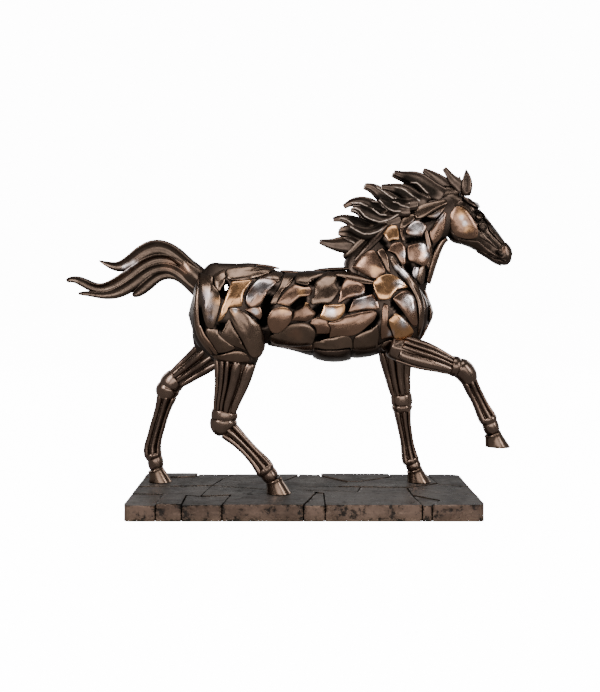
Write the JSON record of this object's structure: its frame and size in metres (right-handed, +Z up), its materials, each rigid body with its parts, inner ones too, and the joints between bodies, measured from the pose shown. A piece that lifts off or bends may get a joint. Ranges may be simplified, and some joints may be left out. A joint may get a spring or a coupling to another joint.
{
  "type": "horse statue",
  "caption": "Prancing horse made of overlapping bronze plates and muscle strips, with flame-like mane and tail, on a paved rectangular bronze base.",
  "frame": {"origin": "centre of the base's underside, on the surface that the statue stands on", "axes": "+X the way the horse faces, +Z up, so the horse's right side is towards -Y"},
  "size_m": [0.3852, 0.094, 0.2919],
  "materials": {
    "plate_bronze": "satin brown patina, rubbed bright at the rims",
    "golden_bronze": "polished golden brown patina",
    "limb_bronze": "satin brown patina with dark grooves",
    "hair_bronze": "dark patina with rubbed ridges",
    "dark_bronze": "near-black patina",
    "paving_bronze": "slate brown patina, glossy on top and pitted on the edge",
    "steel": "plain zinc plated",
    "felt": "black felt"
  },
  "bodies": {
    "root": {"base_core": "dark_bronze", "felt_sheet": "felt", "hoof_screws": "steel", "flagstones_rear": "paving_bronze", "flagstones_middle": "paving_bronze", "flagstones_front": "paving_bronze", "armature": "dark_bronze", "body_lining": "dark_bronze", "back_plates": "plate_bronze", "belly_keel": "dark_bronze", "breast_plates": "plate_bronze", "right_haunch_plates": "plate_bronze", "right_thigh_plates": "plate_bronze", "right_flank_plates": "plate_bronze", "right_rib_plates": "plate_bronze", "right_belly_plates": "plate_bronze", "right_shoulder_plates": "golden_bronze", "right_neck_plates": "golden_bronze", "left_haunch_plates": "plate_bronze", "left_thigh_plates": "plate_bronze", "left_flank_plates": "plate_bronze", "left_rib_plates": "plate_bronze", "left_belly_plates": "plate_bronze", "left_shoulder_plates": "golden_bronze", "left_neck_plates": "golden_bronze", "skull": "dark_bronze", "cheek_plates": "golden_bronze", "face_strips": "plate_bronze", "muzzle_plates": "plate_bronze", "ears": "plate_bronze", "eyes": "golden_bronze", "mane_crest": "hair_bronze", "mane_locks_right": "hair_bronze", "mane_locks_middle": "hair_bronze", "mane_locks_left": "hair_bronze", "tail_dock": "hair_bronze", "tail_lock_upper": "hair_bronze", "tail_lock_middle": "hair_bronze", "tail_lock_lower": "hair_bronze", "tail_lock_under": "hair_bronze", "right_hind_gaskin": "limb_bronze", "right_hind_hock": "limb_bronze", "right_hind_cannon": "limb_bronze", "right_hind_pastern": "limb_bronze", "right_hind_hoof": "golden_bronze", "left_hind_gaskin": "limb_bronze", "left_hind_hock": "limb_bronze", "left_hind_cannon": "limb_bronze", "left_hind_pastern": "limb_bronze", "left_hind_hoof": "golden_bronze", "right_fore_forearm": "limb_bronze", "right_fore_knee": "limb_bronze", "right_fore_cannon": "limb_bronze", "right_fore_pastern": "limb_bronze", "right_fore_hoof": "golden_bronze", "left_fore_forearm": "limb_bronze", "left_fore_knee": "limb_bronze", "left_fore_cannon": "limb_bronze", "left_fore_pastern": "limb_bronze", "left_fore_hoof": "golden_bronze"}
  },
  "joints": []
}
